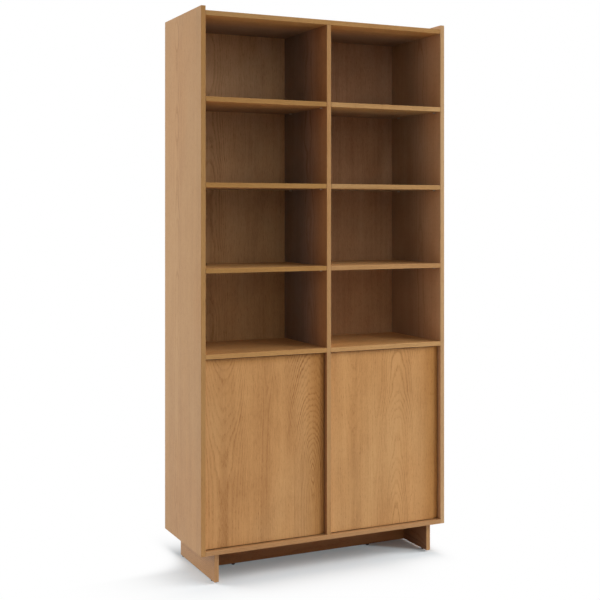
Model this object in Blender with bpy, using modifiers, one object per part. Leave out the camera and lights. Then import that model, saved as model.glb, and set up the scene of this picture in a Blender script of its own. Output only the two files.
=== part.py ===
"""Tall oak veneered bookcase: two columns of open bays above two recessed doors, on an H-shaped base.

Metres, +Z up, front towards -Y, origin on the floor under the middle of the carcass.
"""
import math

import bmesh
import bpy
from mathutils import Matrix, Vector

# Overall sizes
WIDTH = 1.000
DEPTH = 0.395
SIDE_HEIGHT = 1.9265
TOP_DROP = 0.0155
CUPBOARD_HEIGHT = 0.671
BAYS = 4
SHELVES = BAYS - 1

# Board thicknesses
SIDE_THICKNESS = 0.017
DIVIDER_THICKNESS = 0.017
TOP_THICKNESS = 0.017
BOTTOM_THICKNESS = 0.017
FIXED_SHELF_THICKNESS = 0.017
SHELF_THICKNESS = 0.017
BACK_THICKNESS = 0.008
EDGE_ROUND = 0.0006
EDGE_SEGMENTS = 2

# Back panels in their grooves
BACK_INSET = 0.013
GROOVE_DEPTH = 0.005

# Loose shelves and the pins that carry them
SHELF_SIDE_CLEARANCE = 0.001
SHELF_BACK_CLEARANCE = 0.001
PIN_RADIUS = 0.0025
PIN_INSERT = 0.0085
PIN_REACH = 0.009
PIN_CHAMFER = 0.0006
PIN_END_ROOM = 0.001
FRONT_PIN_SETBACK = 0.040
REAR_PIN_INSET = 0.064

# Doors and their finger grips
DOOR_THICKNESS = 0.017
DOOR_RECESS = 0.012
DOOR_GAP = 0.003
GRIP_WIDTH = 0.018
GRIP_DEPTH = 0.008
GRIP_UNDERCUT = 0.005

# Door pivots, at the hinge edge of each door
PIVOT_INSET = 0.015
PIVOT_PIN_RADIUS = 0.003
PIVOT_PIN_HEIGHT = 0.009
PIVOT_PLATE_LENGTH = 0.038
PIVOT_PLATE_WIDTH = 0.012
PIVOT_PLATE_THICKNESS = 0.002
PIVOT_SCREW_RADIUS = 0.0018
PIVOT_SCREW_INSET = 0.006
BUSH_RADIUS = 0.005
BUSH_FLANGE_RADIUS = 0.0075
BUSH_LENGTH = 0.012
BUSH_END_ROOM = 0.001
BUSH_CLEARANCE = 0.00008

# Magnetic catch and its strike plate, at the free edge of each door
CATCH_EDGE_INSET = 0.075
CATCH_BODY_WIDTH = 0.030
CATCH_BODY_HEIGHT = 0.014
CATCH_BODY_DEPTH = 0.016
CATCH_EAR_LENGTH = 0.010
CATCH_EAR_THICKNESS = 0.0025
CATCH_EAR_DEPTH = 0.010
CATCH_SLOT_RADIUS = 0.0018
STRIKE_WIDTH = 0.034
STRIKE_HEIGHT = 0.013
STRIKE_THICKNESS = 0.0015
STRIKE_CORNER = 0.002
STRIKE_TOP_INSET = 0.001
STRIKE_HOLE_RADIUS = 0.002

# Base: two side boards and a rail between them
BASE_HEIGHT = 0.100
BASE_THICKNESS = 0.017
BASE_SIDE_INSET = 0.055
BASE_FRONT_INSET = 0.0145
BASE_REAR_INSET = 0.024
RAIL_THICKNESS = 0.017

# Glides under the base
GLIDE_HEIGHT = 0.006
GLIDE_RADIUS = 0.007
GLIDE_FOOT_RADIUS = 0.005
GLIDE_RIM = 0.002
GLIDE_STEM_RADIUS = 0.002
GLIDE_STEM_LENGTH = 0.014
GLIDE_STEM_ROOM = 0.002
FRONT_GLIDE_INSET = 0.039
REAR_GLIDE_INSET = 0.012
RAIL_GLIDE_SHARES = (0.154, 0.805)

# Clearances and round counts
SEAT_GAP = 0.0003
OVERRUN = 0.002
WELD_DISTANCE = 0.000005
HOLE_SIDES = 16
ROUND_STEPS = 20
CORNER_STEPS = 3
PIN_STEPS = 12

# Planes that the pieces share
LEFT_X = -WIDTH / 2
RIGHT_X = WIDTH / 2
LEFT_INNER_X = LEFT_X + SIDE_THICKNESS
RIGHT_INNER_X = RIGHT_X - SIDE_THICKNESS
DIVIDER_LEFT_X = -DIVIDER_THICKNESS / 2
DIVIDER_RIGHT_X = DIVIDER_THICKNESS / 2
FRONT_Y = -DEPTH / 2
REAR_Y = DEPTH / 2
BACK_REAR_Y = REAR_Y - BACK_INSET
BACK_FRONT_Y = BACK_REAR_Y - BACK_THICKNESS
CARCASS_Z = GLIDE_HEIGHT + BASE_HEIGHT
BOTTOM_TOP_Z = CARCASS_Z + BOTTOM_THICKNESS
SHELF_UNDER_Z = BOTTOM_TOP_Z + CUPBOARD_HEIGHT
BAYS_FLOOR_Z = SHELF_UNDER_Z + FIXED_SHELF_THICKNESS
SIDE_TOP_Z = CARCASS_Z + SIDE_HEIGHT
TOP_UPPER_Z = SIDE_TOP_Z - TOP_DROP
TOP_UNDER_Z = TOP_UPPER_Z - TOP_THICKNESS
BAY_HEIGHT = (TOP_UNDER_Z - BAYS_FLOOR_Z - SHELVES * SHELF_THICKNESS) / BAYS
DOOR_FRONT_Y = FRONT_Y + DOOR_RECESS
DOOR_REAR_Y = DOOR_FRONT_Y + DOOR_THICKNESS
PIVOT_Y = DOOR_FRONT_Y + DOOR_THICKNESS / 2
BASE_FRONT_Y = FRONT_Y + BASE_FRONT_INSET
BASE_REAR_Y = REAR_Y - BASE_REAR_INSET
BASE_MIDDLE_Y = (BASE_FRONT_Y + BASE_REAR_Y) / 2

# The clear width of each column, left to right
COLUMNS = {
    "left": (LEFT_INNER_X, DIVIDER_LEFT_X),
    "right": (DIVIDER_RIGHT_X, RIGHT_INNER_X),
}
PIN_ROWS = {
    "front": FRONT_Y + FRONT_PIN_SETBACK,
    "rear": BACK_FRONT_Y - REAR_PIN_INSET,
}

# Finishes: colour as seen (0 to 255), roughness, metallic
FINISHES = {
    "side_oak": ((188, 148, 110), 0.55, 0.0),
    "divider_oak": ((186, 142, 98), 0.55, 0.0),
    "top_oak": ((184, 134, 86), 0.55, 0.0),
    "bottom_oak": ((184, 136, 90), 0.55, 0.0),
    "fixed_shelf_oak": ((186, 140, 94), 0.55, 0.0),
    "shelf_oak": ((184, 138, 92), 0.55, 0.0),
    "back_oak": ((172, 126, 82), 0.60, 0.0),
    "door_oak": ((182, 136, 90), 0.52, 0.0),
    "base_oak": ((180, 132, 86), 0.55, 0.0),
    "pin_nickel": ((196, 190, 180), 0.30, 1.0),
    "pivot_steel": ((176, 174, 170), 0.35, 1.0),
    "bush_nylon": ((222, 216, 204), 0.45, 0.0),
    "catch_plastic": ((96, 66, 44), 0.45, 0.0),
    "strike_steel": ((184, 182, 178), 0.30, 1.0),
    "glide_plastic": ((20, 19, 18), 0.50, 0.0),
}


def clear_scene():
    for thing in list(bpy.data.objects):
        bpy.data.objects.remove(thing, do_unlink=True)


def new_collection(name):
    group = bpy.data.collections.new(name)
    bpy.context.scene.collection.children.link(group)
    return group


def linear(level):
    share = level / 255
    if share <= 0.04045:
        return share / 12.92
    return ((share + 0.055) / 1.055) ** 2.4


def finish_material(name):
    if name in bpy.data.materials:
        return bpy.data.materials[name]
    colour, roughness, metallic = FINISHES[name]
    material = bpy.data.materials.new(name)
    material.use_nodes = True
    shader = material.node_tree.nodes["Principled BSDF"]
    rgba = [linear(level) for level in colour] + [1.0]
    shader.inputs["Base Color"].default_value = rgba
    shader.inputs["Roughness"].default_value = roughness
    shader.inputs["Metallic"].default_value = metallic
    material.diffuse_color = rgba
    return material


# Ways to make and place a piece
def place(mesh, name, finish, location, parent=None):
    thing = bpy.data.objects.new(name, mesh)
    PARTS.objects.link(thing)
    if not mesh.materials:
        mesh.materials.append(finish_material(finish))
    thing.location = location
    thing.parent = parent
    return thing


def box_mesh(name, size):
    shape = bmesh.new()
    bmesh.ops.create_cube(shape, size=1)
    bmesh.ops.scale(shape, vec=size, verts=shape.verts)
    mesh = bpy.data.meshes.new(name)
    shape.to_mesh(mesh)
    shape.free()
    return mesh


def round_edges(thing, width):
    bevel = thing.modifiers.new("round_edges", "BEVEL")
    bevel.width = width
    bevel.segments = EDGE_SEGMENTS
    bevel.limit_method = "ANGLE"
    bevel.angle_limit = math.radians(30)


def board(name, low, high, finish):
    """A board with its arrises eased, from its low corner to its high corner."""
    low = Vector(low)
    high = Vector(high)
    thing = place(box_mesh(name, high - low), name, finish, (low + high) / 2)
    round_edges(thing, EDGE_ROUND)
    return thing


def combine(target, mesh, name, operation, location):
    """Add a shape to a piece, or take it away."""
    helper = bpy.data.objects.new(name, mesh)
    CUTTERS.objects.link(helper)
    helper.location = location
    helper.parent = target.parent
    helper.hide_render = True
    helper.display_type = "WIRE"
    boolean = target.modifiers.new(name, "BOOLEAN")
    boolean.operation = operation
    boolean.solver = "EXACT"
    boolean.object = helper


def cut(target, mesh, name, location=(0, 0, 0)):
    combine(target, mesh, name, "DIFFERENCE", location)


def cut_box(target, name, low, high):
    low = Vector(low)
    high = Vector(high)
    cut(target, box_mesh(name, high - low), name, (low + high) / 2)


def add_cylinder(shape, radius, start, end, sides):
    """A closed cylinder between two points, in an open bmesh."""
    start = Vector(start)
    end = Vector(end)
    axis = end - start
    turn = axis.to_track_quat("Z", "Y").to_matrix().to_4x4()
    move = Matrix.Translation((start + end) / 2)
    bmesh.ops.create_cone(
        shape,
        cap_ends=True,
        segments=sides,
        radius1=radius,
        radius2=radius,
        depth=axis.length,
        matrix=move @ turn,
    )


def cut_holes(target, name, radius, runs):
    """One cutter for all the round holes that run between pairs of points."""
    shape = bmesh.new()
    for start, end in runs:
        add_cylinder(shape, radius, start, end, HOLE_SIDES)
    mesh = bpy.data.meshes.new(name)
    shape.to_mesh(mesh)
    shape.free()
    cut(target, mesh, name)


def turned_mesh(name, profile):
    """A profile of (radius, height) points, from the top down its outer side."""
    mesh = bpy.data.meshes.new(name)
    points = [(radius, 0, height) for radius, height in profile]
    edges = [(index, index + 1) for index in range(len(points) - 1)]
    mesh.from_pydata(points, edges, [])
    return mesh


def turned(mesh, name, finish, location, steps, parent=None):
    thing = place(mesh, name, finish, location, parent)
    screw = thing.modifiers.new("turn", "SCREW")
    screw.axis = "Z"
    screw.angle = math.tau
    screw.steps = steps
    screw.render_steps = steps
    screw.use_merge_vertices = True
    screw.merge_threshold = WELD_DISTANCE
    screw.use_smooth_shade = True
    return thing


def outline_mesh(name, splines, thickness):
    """A flat plate from closed outlines: the first is its rim, the others are its holes."""
    curve = bpy.data.curves.new(name, "CURVE")
    curve.dimensions = "2D"
    curve.fill_mode = "BOTH"
    curve.extrude = thickness / 2
    for points in splines:
        spline = curve.splines.new("POLY")
        spline.points.add(len(points) - 1)
        for place_at, (x, y) in zip(spline.points, points):
            place_at.co = (x, y, 0, 1)
        spline.use_cyclic_u = True
    guide = bpy.data.objects.new(name, curve)
    bpy.context.scene.collection.objects.link(guide)
    bpy.context.view_layer.update()
    graph = bpy.context.evaluated_depsgraph_get()
    mesh = bpy.data.meshes.new_from_object(guide.evaluated_get(graph))
    bpy.data.objects.remove(guide, do_unlink=True)
    shape = bmesh.new()
    shape.from_mesh(mesh)
    bmesh.ops.remove_doubles(shape, verts=shape.verts, dist=WELD_DISTANCE)
    bmesh.ops.recalc_face_normals(shape, faces=shape.faces)
    shape.to_mesh(mesh)
    shape.free()
    mesh.materials.clear()
    return mesh


def arc(centre, radius, start, end, steps):
    """Points along an arc, angles in radians."""
    points = []
    for step in range(steps + 1):
        angle = start + (end - start) * step / steps
        points.append((centre[0] + radius * math.cos(angle), centre[1] + radius * math.sin(angle)))
    return points


def circle(centre, radius, sides):
    return arc(centre, radius, 0, math.tau, sides)[:-1]


def stadium(length, width, sides):
    """A slot outline with round ends, long along X."""
    radius = width / 2
    reach = length / 2 - radius
    right = arc((reach, 0), radius, -math.pi / 2, math.pi / 2, sides)
    left = arc((-reach, 0), radius, math.pi / 2, 3 * math.pi / 2, sides)
    return right + left


def rounded_rectangle(width, height, radius, sides):
    points = []
    across = width / 2 - radius
    up = height / 2 - radius
    corners = ((across, -up), (across, up), (-across, up), (-across, -up))
    for turn, corner in enumerate(corners):
        start = math.pi / 2 * (turn - 1)
        points += arc(corner, radius, start, start + math.pi / 2, sides)
    return points


# Carcass boards
def shelf_level(number):
    """Underside of a loose shelf; number 1 is the highest."""
    step = BAY_HEIGHT + SHELF_THICKNESS
    return TOP_UNDER_Z - number * step


def pin_height(number):
    return shelf_level(number) - SEAT_GAP - PIN_RADIUS


def pin_places():
    """Height and depth of each shelf pin on a wall, with its name's ending."""
    places = []
    for number in range(1, SHELVES + 1):
        for row, y in PIN_ROWS.items():
            places.append((f"{number}_{row}", y, pin_height(number)))
    return places


def back_groove(target, name, wall_x, into):
    """The upright groove that holds a back panel's edge, cut into a wall in the direction given."""
    bottom_x = wall_x + into * (GROOVE_DEPTH + SEAT_GAP)
    mouth_x = wall_x - into * OVERRUN
    low = (min(bottom_x, mouth_x), BACK_FRONT_Y - SEAT_GAP, BOTTOM_TOP_Z - GROOVE_DEPTH - SEAT_GAP)
    high = (max(bottom_x, mouth_x), BACK_REAR_Y + SEAT_GAP, TOP_UNDER_Z + GROOVE_DEPTH + SEAT_GAP)
    cut_box(target, name, low, high)


def side_panel(side, outer_x, inner_x, into):
    low = (min(outer_x, inner_x), FRONT_Y, CARCASS_Z)
    high = (max(outer_x, inner_x), REAR_Y, SIDE_TOP_Z)
    panel = board(f"{side}_side_panel", low, high, "side_oak")
    back_groove(panel, f"{side}_side_groove", inner_x, into)
    mouth_x = inner_x - into * OVERRUN
    blind_x = inner_x + into * (PIN_INSERT + PIN_END_ROOM)
    runs = [((mouth_x, y, z), (blind_x, y, z)) for _, y, z in pin_places()]
    cut_holes(panel, f"{side}_side_pin_holes", PIN_RADIUS + SEAT_GAP, runs)


def centre_divider():
    low = (DIVIDER_LEFT_X, FRONT_Y, BOTTOM_TOP_Z + SEAT_GAP)
    high = (DIVIDER_RIGHT_X, REAR_Y, TOP_UNDER_Z - SEAT_GAP)
    panel = board("centre_divider", low, high, "divider_oak")
    back_groove(panel, "divider_left_groove", DIVIDER_LEFT_X, 1)
    back_groove(panel, "divider_right_groove", DIVIDER_RIGHT_X, -1)
    left_x = DIVIDER_LEFT_X - OVERRUN
    right_x = DIVIDER_RIGHT_X + OVERRUN
    runs = [((left_x, y, z), (right_x, y, z)) for _, y, z in pin_places()]
    cut_holes(panel, "divider_pin_holes", PIN_RADIUS + SEAT_GAP, runs)


def cross_grooves(panel, name, face_z, into):
    """The grooves for both back panels' ends, in the top or the bottom panel."""
    bottom_z = face_z + into * (GROOVE_DEPTH + SEAT_GAP)
    mouth_z = face_z - into * OVERRUN
    for side, (left_x, right_x) in COLUMNS.items():
        low = (left_x - GROOVE_DEPTH - SEAT_GAP, BACK_FRONT_Y - SEAT_GAP, min(bottom_z, mouth_z))
        high = (right_x + GROOVE_DEPTH + SEAT_GAP, BACK_REAR_Y + SEAT_GAP, max(bottom_z, mouth_z))
        low = (max(low[0], LEFT_INNER_X - OVERRUN), low[1], low[2])
        high = (min(high[0], RIGHT_INNER_X + OVERRUN), high[1], high[2])
        cut_box(panel, f"{name}_{side}_groove", low, high)


def top_panel():
    low = (LEFT_INNER_X + SEAT_GAP, FRONT_Y, TOP_UNDER_Z)
    high = (RIGHT_INNER_X - SEAT_GAP, REAR_Y, TOP_UPPER_Z)
    cross_grooves(board("top_panel", low, high, "top_oak"), "top", TOP_UNDER_Z, 1)


def bottom_panel():
    low = (LEFT_INNER_X + SEAT_GAP, FRONT_Y, CARCASS_Z)
    high = (RIGHT_INNER_X - SEAT_GAP, REAR_Y, BOTTOM_TOP_Z)
    panel = board("bottom_panel", low, high, "bottom_oak")
    cross_grooves(panel, "bottom", BOTTOM_TOP_Z, -1)
    for side in COLUMNS:
        plate_pocket(panel, f"{side}_lower_plate_pocket", door_axis_x(side), BOTTOM_TOP_Z, -1)


def fixed_shelf(side):
    left_x, right_x = COLUMNS[side]
    low = (left_x + SEAT_GAP, FRONT_Y, SHELF_UNDER_Z)
    high = (right_x - SEAT_GAP, BACK_FRONT_Y - SEAT_GAP, BAYS_FLOOR_Z)
    shelf = board(f"{side}_fixed_shelf", low, high, "fixed_shelf_oak")
    plate_pocket(shelf, f"{side}_upper_plate_pocket", door_axis_x(side), SHELF_UNDER_Z, 1)


def back_panel(side):
    left_x, right_x = COLUMNS[side]
    low = (left_x - GROOVE_DEPTH, BACK_FRONT_Y, BOTTOM_TOP_Z - GROOVE_DEPTH)
    high = (right_x + GROOVE_DEPTH, BACK_REAR_Y, TOP_UNDER_Z + GROOVE_DEPTH)
    place_at = (Vector(low) + Vector(high)) / 2
    mesh = box_mesh(f"{side}_back_panel", Vector(high) - Vector(low))
    place(mesh, f"{side}_back_panel", "back_oak", place_at)


def loose_shelf(side, number):
    left_x, right_x = COLUMNS[side]
    under_z = shelf_level(number)
    low = (left_x + SHELF_SIDE_CLEARANCE, FRONT_Y, under_z)
    high = (right_x - SHELF_SIDE_CLEARANCE, BACK_FRONT_Y - SHELF_BACK_CLEARANCE, under_z + SHELF_THICKNESS)
    board(f"{side}_shelf_{number}", low, high, "shelf_oak")


# Shelf pins
def pin_mesh(name, length):
    """A plain steel pin with chamfered ends, centred on its middle."""
    reach = length / 2
    shoulder = PIN_RADIUS - PIN_CHAMFER
    profile = (
        (0, reach),
        (shoulder, reach),
        (PIN_RADIUS, reach - PIN_CHAMFER),
        (PIN_RADIUS, PIN_CHAMFER - reach),
        (shoulder, -reach),
        (0, -reach),
    )
    return turned_mesh(name, profile)


def shelf_pins():
    side_mesh = pin_mesh("side_pin", PIN_INSERT + PIN_REACH)
    through_mesh = pin_mesh("divider_pin", DIVIDER_THICKNESS + 2 * PIN_REACH)
    middle = (PIN_REACH - PIN_INSERT) / 2
    rows = (
        ("left_side", side_mesh, LEFT_INNER_X + middle),
        ("divider", through_mesh, 0),
        ("right_side", side_mesh, RIGHT_INNER_X - middle),
    )
    for wall, mesh, x in rows:
        for ending, y, z in pin_places():
            pin = turned(mesh, f"{wall}_pin_{ending}", "pin_nickel", (x, y, z), PIN_STEPS)
            pin.rotation_euler = (0, math.pi / 2, 0)


# Doors
def door_axis_x(side):
    return COLUMNS[side][0] + DOOR_GAP + PIVOT_INSET


def door_axis(side):
    """An empty on the line that a door turns about, level with the door's lower edge."""
    empty = bpy.data.objects.new(f"{side}_door_axis", None)
    PARTS.objects.link(empty)
    empty.location = (door_axis_x(side), PIVOT_Y, BOTTOM_TOP_Z + DOOR_GAP)
    return empty


def door_height():
    return CUPBOARD_HEIGHT - 2 * DOOR_GAP


def door_width(side):
    left_x, right_x = COLUMNS[side]
    return right_x - left_x - 2 * DOOR_GAP


def door_outline(side):
    """Plan of a door about its pivot, with the undercut finger grip along its free edge."""
    front = -DOOR_THICKNESS / 2
    rear = DOOR_THICKNESS / 2
    hinge_x = -PIVOT_INSET
    free_x = hinge_x + door_width(side)
    lip_x = free_x - GRIP_WIDTH
    return (
        (hinge_x, front),
        (lip_x, front),
        (lip_x - GRIP_UNDERCUT, front + GRIP_DEPTH),
        (free_x, front + GRIP_DEPTH),
        (free_x, rear),
        (hinge_x, rear),
    )


def door(side, axis):
    height = door_height()
    mesh = outline_mesh(f"{side}_door", [door_outline(side)], height)
    panel = place(mesh, f"{side}_door", "door_oak", (0, 0, height / 2), axis)
    round_edges(panel, EDGE_ROUND)
    socket = BUSH_LENGTH - bush_flange() + BUSH_END_ROOM
    runs = (
        ((0, 0, -OVERRUN), (0, 0, socket)),
        ((0, 0, height - socket), (0, 0, height + OVERRUN)),
    )
    cut_holes(panel, f"{side}_door_sockets", BUSH_RADIUS + SEAT_GAP, runs)


# Door pivots: a plate with a pin in the carcass, a bush in the door
def bush_flange():
    return DOOR_GAP - 2 * SEAT_GAP


def plate_pocket(target, name, x, face_z, into):
    """The shallow pocket that a pivot plate lies in."""
    length = PIVOT_PLATE_LENGTH + 2 * SEAT_GAP
    width = PIVOT_PLATE_WIDTH + 2 * SEAT_GAP
    depth = PIVOT_PLATE_THICKNESS + SEAT_GAP
    mesh = outline_mesh(name, [stadium(length, width, ROUND_STEPS // 2)], depth + OVERRUN)
    middle_z = face_z + into * (depth - OVERRUN) / 2
    cut(target, mesh, name, (x + plate_offset(), PIVOT_Y, middle_z))


def plate_offset():
    """The pin stands near one end of its plate, so the plate reaches away from the side."""
    return PIVOT_PLATE_LENGTH / 2 - PIVOT_PLATE_WIDTH / 2 - PIVOT_SCREW_INSET


def pivot_plate(name, x, face_z, into):
    """A plate with screw holes and a pin that points away from the board it is let into."""
    reach = PIVOT_PLATE_LENGTH / 2 - PIVOT_SCREW_INSET
    rim = stadium(PIVOT_PLATE_LENGTH, PIVOT_PLATE_WIDTH, ROUND_STEPS // 2)
    hole = circle((reach, 0), PIVOT_SCREW_RADIUS, PIN_STEPS)
    mesh = outline_mesh(name, [rim, hole], PIVOT_PLATE_THICKNESS)
    plate_z = face_z + into * PIVOT_PLATE_THICKNESS / 2
    plate = place(mesh, name, "pivot_steel", (x + plate_offset(), PIVOT_Y, plate_z))
    shape = bmesh.new()
    foot = into * PIVOT_PLATE_THICKNESS / 4
    tip = -into * (PIVOT_PLATE_THICKNESS / 2 + PIVOT_PIN_HEIGHT)
    add_cylinder(shape, PIVOT_PIN_RADIUS, (0, 0, foot), (0, 0, tip), ROUND_STEPS)
    pin = bpy.data.meshes.new(f"{name}_pin")
    shape.to_mesh(pin)
    shape.free()
    combine(plate, pin, f"{name}_pin", "UNION", (x, PIVOT_Y, plate_z))


def door_bush(name, axis, base_z, flip):
    """A flanged blind bush; flip turns it over for the door's upper edge."""
    bore = PIVOT_PIN_RADIUS + BUSH_CLEARANCE
    bore_end = PIVOT_PIN_HEIGHT - SEAT_GAP + BUSH_END_ROOM
    profile = (
        (0, BUSH_LENGTH),
        (BUSH_RADIUS, BUSH_LENGTH),
        (BUSH_RADIUS, bush_flange()),
        (BUSH_FLANGE_RADIUS, bush_flange()),
        (BUSH_FLANGE_RADIUS, 0),
        (bore, 0),
        (bore, bore_end),
        (0, bore_end),
    )
    mesh = turned_mesh(name, profile)
    bush = turned(mesh, name, "bush_nylon", (0, 0, base_z), ROUND_STEPS, axis)
    if flip:
        bush.rotation_euler = (math.pi, 0, 0)


def door_pivots(side, axis):
    x = door_axis_x(side)
    pivot_plate(f"{side}_door_lower_pivot", x, BOTTOM_TOP_Z, -1)
    pivot_plate(f"{side}_door_upper_pivot", x, SHELF_UNDER_Z, 1)
    door_bush(f"{side}_door_lower_bush", axis, SEAT_GAP - DOOR_GAP, False)
    door_bush(f"{side}_door_upper_bush", axis, door_height() + DOOR_GAP - SEAT_GAP, True)


# Catches
def catch_x(side):
    return COLUMNS[side][1] - DOOR_GAP - CATCH_EDGE_INSET


def catch_front_y():
    return DOOR_REAR_Y + 2 * SEAT_GAP + STRIKE_THICKNESS


def magnetic_catch(side):
    """A magnet housing under the fixed shelf, with a screw ear at each end."""
    x = catch_x(side)
    length = CATCH_BODY_WIDTH + 2 * CATCH_EAR_LENGTH
    ear_radius = CATCH_EAR_DEPTH / 2
    reach = length / 2 - ear_radius
    rim = stadium(length, CATCH_EAR_DEPTH, ROUND_STEPS // 2)
    holes = [circle((sign * reach, 0), CATCH_SLOT_RADIUS, PIN_STEPS) for sign in (-1, 1)]
    name = f"{side}_door_catch"
    mesh = outline_mesh(name, [rim] + holes, CATCH_EAR_THICKNESS)
    middle_y = catch_front_y() + CATCH_BODY_DEPTH / 2
    ear_z = SHELF_UNDER_Z - SEAT_GAP - CATCH_EAR_THICKNESS / 2
    catch = place(mesh, name, "catch_plastic", (x, middle_y, ear_z))
    body_size = (CATCH_BODY_WIDTH, CATCH_BODY_DEPTH, CATCH_BODY_HEIGHT)
    body_z = SHELF_UNDER_Z - SEAT_GAP - CATCH_BODY_HEIGHT / 2
    body = box_mesh(f"{name}_body", body_size)
    combine(catch, body, f"{name}_body", "UNION", (x, middle_y, body_z))


def strike_plate(side, axis):
    """A small steel plate on the door's inner face, held by one screw."""
    name = f"{side}_door_strike"
    rim = rounded_rectangle(STRIKE_WIDTH, STRIKE_HEIGHT, STRIKE_CORNER, CORNER_STEPS)
    hole = circle((0, 0), STRIKE_HOLE_RADIUS, PIN_STEPS)
    mesh = outline_mesh(name, [rim, hole], STRIKE_THICKNESS)
    x = catch_x(side) - door_axis_x(side)
    y = DOOR_THICKNESS / 2 + SEAT_GAP + STRIKE_THICKNESS / 2
    z = door_height() - STRIKE_TOP_INSET - STRIKE_HEIGHT / 2
    plate = place(mesh, name, "strike_steel", (x, y, z), axis)
    plate.rotation_euler = (math.pi / 2, 0, 0)


# Base and glides
def base_side_x(side):
    """Middle of a base side board."""
    inset = BASE_SIDE_INSET + BASE_THICKNESS / 2
    return LEFT_X + inset if side == "left" else RIGHT_X - inset


def glide_holes(target, name, places):
    run = GLIDE_STEM_LENGTH + GLIDE_STEM_ROOM
    runs = [((x, y, GLIDE_HEIGHT - OVERRUN), (x, y, GLIDE_HEIGHT + run)) for x, y in places]
    cut_holes(target, name, GLIDE_STEM_RADIUS + SEAT_GAP, runs)


def base_side(side):
    middle_x = base_side_x(side)
    low = (middle_x - BASE_THICKNESS / 2, BASE_FRONT_Y, GLIDE_HEIGHT)
    high = (middle_x + BASE_THICKNESS / 2, BASE_REAR_Y, CARCASS_Z - SEAT_GAP)
    panel = board(f"{side}_base_side", low, high, "base_oak")
    glide_holes(panel, f"{side}_base_glide_holes", side_glide_places(side))


def base_rail():
    left_x = base_side_x("left") + BASE_THICKNESS / 2 + SEAT_GAP
    right_x = base_side_x("right") - BASE_THICKNESS / 2 - SEAT_GAP
    low = (left_x, BASE_MIDDLE_Y - RAIL_THICKNESS / 2, GLIDE_HEIGHT)
    high = (right_x, BASE_MIDDLE_Y + RAIL_THICKNESS / 2, CARCASS_Z - SEAT_GAP)
    rail = board("base_rail", low, high, "base_oak")
    glide_holes(rail, "base_rail_glide_holes", rail_glide_places())


def side_glide_places(side):
    x = base_side_x(side)
    return ((x, BASE_FRONT_Y + FRONT_GLIDE_INSET), (x, BASE_REAR_Y - REAR_GLIDE_INSET))


def rail_glide_places():
    left_x = base_side_x("left")
    right_x = base_side_x("right")
    return [(left_x + (right_x - left_x) * share, BASE_MIDDLE_Y) for share in RAIL_GLIDE_SHARES]


def glides():
    """Nail-in glides: a flat foot, a straight rim and a stem up into the board."""
    top = GLIDE_HEIGHT - SEAT_GAP
    profile = (
        (0, top + GLIDE_STEM_LENGTH),
        (GLIDE_STEM_RADIUS, top + GLIDE_STEM_LENGTH),
        (GLIDE_STEM_RADIUS, top),
        (GLIDE_RADIUS, top),
        (GLIDE_RADIUS, GLIDE_RIM),
        (GLIDE_FOOT_RADIUS, 0),
        (0, 0),
    )
    mesh = turned_mesh("glide", profile)
    places = {
        "left_front_glide": side_glide_places("left")[0],
        "left_rear_glide": side_glide_places("left")[1],
        "right_front_glide": side_glide_places("right")[0],
        "right_rear_glide": side_glide_places("right")[1],
        "rail_left_glide": rail_glide_places()[0],
        "rail_right_glide": rail_glide_places()[1],
    }
    for name, (x, y) in places.items():
        turned(mesh, name, "glide_plastic", (x, y, 0), PIN_STEPS)


def build_carcass():
    side_panel("left", LEFT_X, LEFT_INNER_X, -1)
    side_panel("right", RIGHT_X, RIGHT_INNER_X, 1)
    centre_divider()
    top_panel()
    bottom_panel()
    for side in COLUMNS:
        fixed_shelf(side)
        back_panel(side)
        for number in range(1, SHELVES + 1):
            loose_shelf(side, number)
    shelf_pins()


def build_doors():
    for side in COLUMNS:
        axis = door_axis(side)
        door(side, axis)
        door_pivots(side, axis)
        magnetic_catch(side)
        strike_plate(side, axis)


def build_base():
    base_side("left")
    base_side("right")
    base_rail()
    glides()


clear_scene()
PARTS = new_collection("bookcase")
CUTTERS = new_collection("cutters")
build_carcass()
build_doors()
build_base()
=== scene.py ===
"""Finishes, small hardware and studio for a tall oak bookcase with two cupboard doors."""
import math
from typing import NamedTuple

import bmesh
import bpy
from bpy.props import FloatProperty, FloatVectorProperty, PointerProperty
from mathutils import Matrix, Vector


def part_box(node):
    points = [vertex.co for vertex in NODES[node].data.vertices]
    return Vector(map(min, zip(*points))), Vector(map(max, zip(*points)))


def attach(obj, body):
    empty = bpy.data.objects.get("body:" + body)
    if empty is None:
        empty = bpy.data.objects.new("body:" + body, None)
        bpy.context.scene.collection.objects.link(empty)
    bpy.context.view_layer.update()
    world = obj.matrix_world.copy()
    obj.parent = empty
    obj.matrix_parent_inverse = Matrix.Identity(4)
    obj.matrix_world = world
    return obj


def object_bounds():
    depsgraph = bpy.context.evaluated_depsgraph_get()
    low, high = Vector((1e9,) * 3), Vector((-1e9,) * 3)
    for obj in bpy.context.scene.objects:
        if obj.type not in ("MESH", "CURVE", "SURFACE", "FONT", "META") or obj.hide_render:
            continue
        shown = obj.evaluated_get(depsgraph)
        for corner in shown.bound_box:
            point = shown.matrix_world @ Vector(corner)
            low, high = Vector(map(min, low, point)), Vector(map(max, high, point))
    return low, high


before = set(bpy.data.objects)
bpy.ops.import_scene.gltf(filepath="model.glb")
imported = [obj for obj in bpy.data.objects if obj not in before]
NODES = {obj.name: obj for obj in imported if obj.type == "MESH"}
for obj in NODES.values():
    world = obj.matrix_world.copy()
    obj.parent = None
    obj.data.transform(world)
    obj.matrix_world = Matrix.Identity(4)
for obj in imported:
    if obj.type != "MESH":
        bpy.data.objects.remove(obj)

bl_info = {
    "name": "Oak bookcase",
    "version": (1, 0, 0),
    "blender": (4, 5, 0),
    "location": "3D View > Sidebar > Bookcase",
    "description": "Oak veneer, hardware and a studio for a tall bookcase with two doors",
    "category": "Object",
}

CAD_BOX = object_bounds()
AXES = "XYZ"
SIDES = ("left", "right")


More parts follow.
